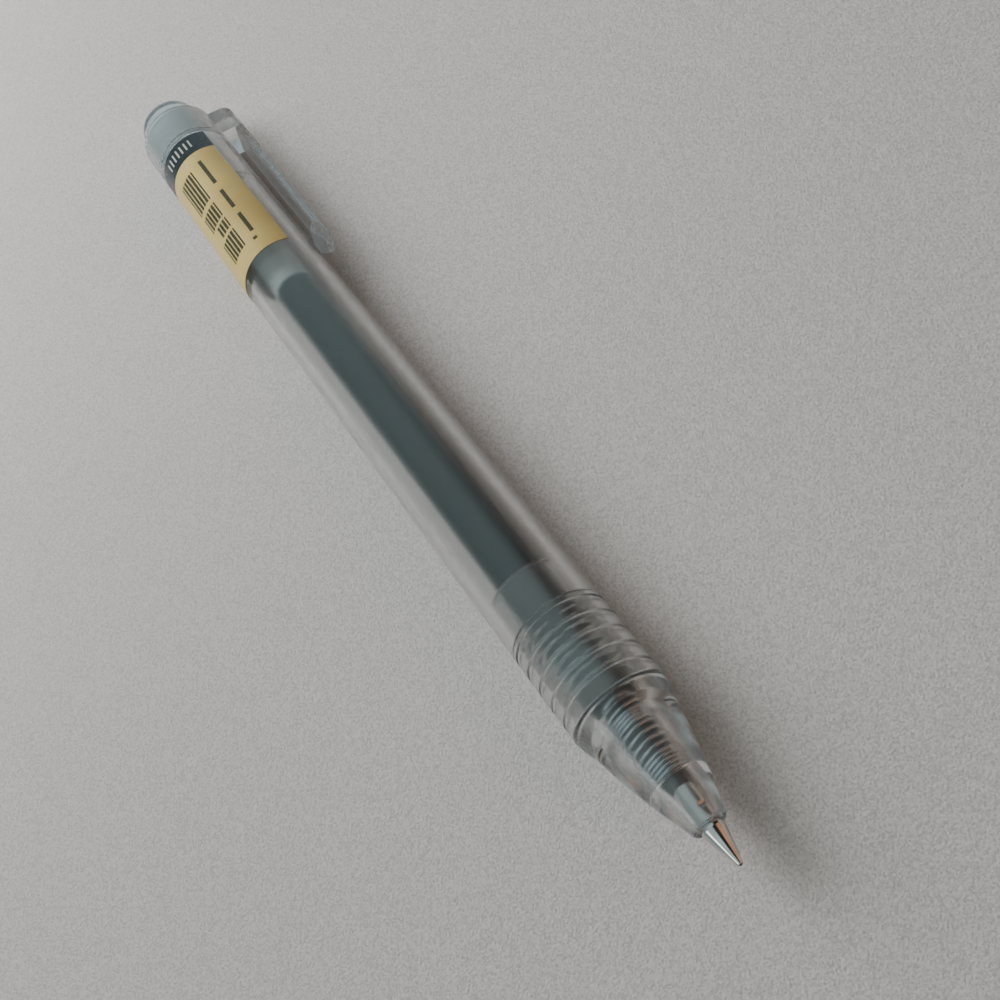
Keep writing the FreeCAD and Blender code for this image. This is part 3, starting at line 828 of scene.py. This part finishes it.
def refill():
    tube = turned_mesh("tube_milky", [
        (REFILL_END, TUBE_BORE_R + 0.01, 0.05),
        (REFILL_END, TUBE_R, 0.12),
        (TUBE_FRONT, TUBE_R, 0.1),
        (TUBE_FRONT, TUBE_BORE_R + 0.01, 0.05),
    ], segments=MEDIUM_SEGMENTS)
    add("tube_milky", tube, milky_tube, "refill", "refill_tube", "refill_tube")

    ink = turned_mesh("ink_column", [
        (INK_END, ON_AXIS),
        (INK_END, WET_R, 0.3),
        (HOLDER_BACK - 0.02, WET_R),
        (HOLDER_BACK - 0.02, FEED_R),
        (STEM_BACK, FEED_R - 0.02),
        (STEM_BACK, ON_AXIS),
    ], segments=COARSE_SEGMENTS)
    add("ink_column", ink, ink_black, "refill", "ink", "ink")

    rim = (FOLLOWER_END, GREASE_R)
    hollow = (FOLLOWER_END + 0.45, TUBE_BORE_R * 0.62)
    outline = [(INK_END - 0.03, ON_AXIS), (INK_END - 0.03, GREASE_R, 0.3), rim]
    outline += arc(rim, hollow, (FOLLOWER_END + MENISCUS, 0.4))
    outline.append((FOLLOWER_END + MENISCUS, ON_AXIS))
    follower = turned_mesh("follower_grease", outline, segments=COARSE_SEGMENTS)
    add("follower_grease", follower, clear_grease, "refill", "follower", "ink_follower")

    holder = turned_mesh("holder_dark", [
        (HOLDER_BACK, FEED_R),
        (HOLDER_BACK, TUBE_BORE_R, 0.1),
        (TUBE_FRONT + 0.02, TUBE_BORE_R),
        (TUBE_FRONT + 0.02, TUBE_R, 0.08),
        (REFILL_SHOULDER, TUBE_R, 0.15),
        (REFILL_SHOULDER, HOLDER_BOSS_R, 0.1),
        (HOLDER_FRONT - HOLDER_CHAMFER, HOLDER_BOSS_R, 0.2),
        (HOLDER_FRONT, STEM_R + 0.12, 0.05),
        (HOLDER_FRONT, STEM_HOLE_R),
        (STEM_BACK, STEM_HOLE_R),
        (STEM_BACK, FEED_R),
    ], segments=MEDIUM_SEGMENTS)
    add("holder_dark", holder, dark_plastic, "refill", "dark_plastic", "tip_holder")


def writing_tip():
    cone_start = (CONE_BACK + 0.3, CONE_R)
    outline = [(STEM_BACK, 0.75), (STEM_BACK, STEM_R, 0.05)]
    outline += run(STEM_BACK + 0.2, -7.0, STEM_R, 1.2)
    outline += run(-6.9, -5.3, STEM_R, 0.06)        # fine enough for the crimps
    outline += [(CONE_BACK, STEM_R), (CONE_BACK, CONE_R, 0.03), cone_start + (0.03,)]
    outline += arc(cone_start, (-2.4, 0.86), (-0.5, 0.39), 12)
    outline += [
        (-0.16, 0.3, 0.02),
        (-0.13, 0.245),
        (-0.25, 0.262),
        (-0.5, 0.14),
        (-2.2, 0.22),
        (-2.8, 0.75),
    ]
    mesh = turned_mesh("tip_turned", outline, shape=crimps, segments=144)
    add("tip_turned", mesh, tip_metal, "refill", "tip_metal", "metal_tip", sharp=28)


def spring():
    """The return spring: close end coils, a close group in the middle, open coils between."""
    turns = [0.0]
    xs = [REFILL_SHOULDER + SPRING_WIRE_R + 0.02]
    for count, pitch in SPRING_RUNS:
        turns.append(turns[-1] + count)
        xs.append(xs[-1] + count * pitch)
    fine = np.linspace(0, turns[-1], int(turns[-1] * SPRING_STEPS))
    x = np.interp(fine, turns, xs)
    kernel = np.hanning(SPRING_SMOOTHING)
    half = SPRING_SMOOTHING // 2
    x[half:-half] = np.convolve(x, kernel / kernel.sum(), "valid")
    angle = fine * 2 * math.pi
    centres = np.stack([x, SPRING_R * np.cos(angle), SPRING_R * np.sin(angle)], -1)
    mesh = swept_mesh("spring_wire", centres, SPRING_WIRE_R)
    finish_mesh(mesh, sharp=60)
    piece = new_object("spring_wire", mesh, spring_steel)
    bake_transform(piece)
    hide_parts("return_spring")


for build in (barrel, label, collar, clip, nose, button, refill, writing_tip, spring):
    build()

for node, material in {
    "plunger": white_plastic, "rotor": white_plastic, "cam_sleeve": white_plastic,
    "writing_ball": ball_metal, "ball_spring": spring_steel,
}.items():
    mesh = frame["nodes"][node].data
    mesh.materials.clear()
    mesh.materials.append(material)


# ---------------------------------------------------------------- table, light and camera
def table_top():
    """A pale, faintly sandy floor."""
    look = Look("table_top")
    pebble = look.noise(3.4, 2.0)
    sand = look.node("TexVoronoi", {"Vector": look.place, "Scale": 4.8 / MM}).outputs["Color"]
    sand = look.node("SeparateColor", {0: sand}).outputs[0]
    cloud = look.noise(0.006, 2.0)
    tone = look.blend(look.span(cloud, 0, 1), rgb(194, 188, 184), rgb(184, 179, 176))
    grains = look.span(sand, 0.0, 0.42, 0.2, 1.0)
    tone = look.blend(grains, tone, rgb(118, 114, 111))
    height = look.calc("ADD", pebble, look.calc("MULTIPLY", sand, 0.5))
    material = look.show(look.principled(
        Base_Color=tone,
        Roughness=look.span(pebble, 0.5, 0.7),
        Specular_IOR_Level=0.35,
        Normal=look.bump(height, 0.7, 0.12),
    ))
    half = 1.6
    corners = [(-half, -half, 0), (half, -half, 0), (half, half, 0), (-half, half, 0)]
    table = new_object("table", mesh_of("table", corners, [(0, 1, 2, 3)]), material)
    table.location.z = -0.00002     # just under the pen


def soft_light(name, at, towards, size, watts, colour, mirrored=False):
    """An area lamp. A mirrored one only shows in reflections; the others only cast light."""
    data = bpy.data.lights.new(name, "AREA")
    data.shape, data.size, data.size_y = "RECTANGLE", size[0], size[1]
    data.energy, data.color = watts, colour
    lamp = bpy.data.objects.new(name, data)
    bpy.context.scene.collection.objects.link(lamp)
    lamp.location = at
    lamp.visible_glossy = mirrored
    lamp.visible_diffuse = not mirrored
    lamp.visible_transmission = False
    lamp.rotation_euler = (Vector(towards) - Vector(at)).to_track_quat("-Z", "Y").to_euler()


ROOM_SIDE = (0.495, 0.869, 0.0)     # the room's tones change along this direction
ROOM_TONES = (
    (0.0, (0.21, 0.29, 0.31, 1)),
    (0.12, (0.28, 0.38, 0.40, 1)),
    (0.28, (0.42, 0.56, 0.59, 1)),
    (0.50, (0.50, 0.66, 0.70, 1)),
    (0.60, (0.46, 0.60, 0.64, 1)),
    (0.66, (0.022, 0.025, 0.030, 1)),
    (0.80, (0.022, 0.020, 0.019, 1)),
    (0.85, (0.14, 0.085, 0.06, 1)),
    (0.89, (0.72, 0.40, 0.25, 1)),
    (0.95, (0.60, 0.32, 0.20, 1)),
    (1.0, (0.40, 0.28, 0.20, 1)),
)
ROOM_STRENGTH = 0.95
ROOM_STRENGTH_DIFFUSE = 0.40        # the room lights matt surfaces less than it is mirrored
BACKDROP = (0.42, 0.41, 0.40, 1)    # plain and pale, behind the table


def room():
    """The world: a cool side, a dark side and a warm edge, for the clear parts to mirror."""
    world = bpy.data.worlds.new("room")
    bpy.context.scene.world = world
    world.use_nodes = True
    tree = world.node_tree
    sky = tree.nodes["Background"]
    place = new_node(tree, "TexCoord").outputs["Generated"]
    side = new_node(tree, "VectorMath", {0: place, 1: ROOM_SIDE}, operation="DOT_PRODUCT")
    shift = new_node(tree, "MapRange", {"Value": side.outputs["Value"], "From Min": -1.0})
    tones = new_node(tree, "ValToRGB", {0: shift.outputs[0]})
    ramp = tones.color_ramp.elements
    ramp[0].position, ramp[0].color = ROOM_TONES[0]
    ramp[1].position, ramp[1].color = ROOM_TONES[-1]
    for position, color in ROOM_TONES[1:-1]:
        ramp.new(position).color = color
    path = new_node(tree, "LightPath").outputs
    strength = new_node(tree, "MapRange", {
        "Value": path["Is Diffuse Ray"],
        "To Min": ROOM_STRENGTH,
        "To Max": ROOM_STRENGTH_DIFFUSE,
    })
    seen = new_node(tree, "Mix", {
        0: path["Is Camera Ray"], MIX_A: tones.outputs[0], MIX_B: BACKDROP,
    }, data_type="RGBA")
    tree.links.new(strength.outputs[0], sky.inputs["Strength"])
    tree.links.new(seen.outputs[MIX_OUT], sky.inputs["Color"])


def lighting():
    room()
    soft_light("window", at=(-0.34, -0.19, 0.27), towards=(-0.06, 0, 0),
               size=(0.34, 0.34), watts=4.6, colour=(0.95, 0.99, 1.0))
    soft_light("pane", at=(0.14, -0.42, 0.38), towards=(0.066, 0, 0.005),
               size=(0.16, 0.16), watts=0.22, colour=(1.0, 1.0, 1.0), mirrored=True)
    soft_light("room_fill", at=(0.25, 0.65, 0.45), towards=(0, 0, 0),
               size=(0.6, 0.5), watts=1.3, colour=(1.0, 0.76, 0.60))


EYE = (34.46, 0.0, 113.71)      # the camera and the point it looks at, along and above the pen
AIM = (-46.45, 3.46, 0.0)
CAMERA_LEAN = 11.0              # degrees that the camera's side of the pen leans from upright
PEN_SLOPE = 51.3                # degrees that the pen's axis falls below level in view


def camera():
    """The camera stands above the tip and looks back along the pen, which slopes in view."""
    upright = Matrix.Rotation(-math.radians(CAMERA_LEAN), 4, "X")

    def pen_point(x, y, z):
        return TIP + upright @ Vector((x, y, z)) * MM

    eye = pen_point(*EYE)
    ahead = (pen_point(*AIM) - eye).normalized()
    axis = Vector((1, 0, 0))
    along = (axis - ahead * axis.dot(ahead)).normalized()
    slope = math.radians(PEN_SLOPE)
    right = along * math.cos(slope) - ahead.cross(along) * math.sin(slope)
    up = right.cross(ahead)
    data = bpy.data.cameras.new("view")
    data.lens, data.sensor_width = 46.8, 36.0
    data.clip_start, data.clip_end = 0.005, 10.0
    eye_object = bpy.data.objects.new("view", data)
    bpy.context.scene.collection.objects.link(eye_object)
    turn = Matrix((right, up, -ahead)).transposed().to_4x4()
    eye_object.matrix_world = Matrix.Translation(eye) @ turn
    bpy.context.scene.camera = eye_object


table_top()
lighting()
camera()

# light has to pass through clear parts inside clear parts
cycles = bpy.context.scene.cycles
cycles.max_bounces = 32
cycles.transmission_bounces = 28
cycles.transparent_max_bounces = 32
cycles.glossy_bounces = 8
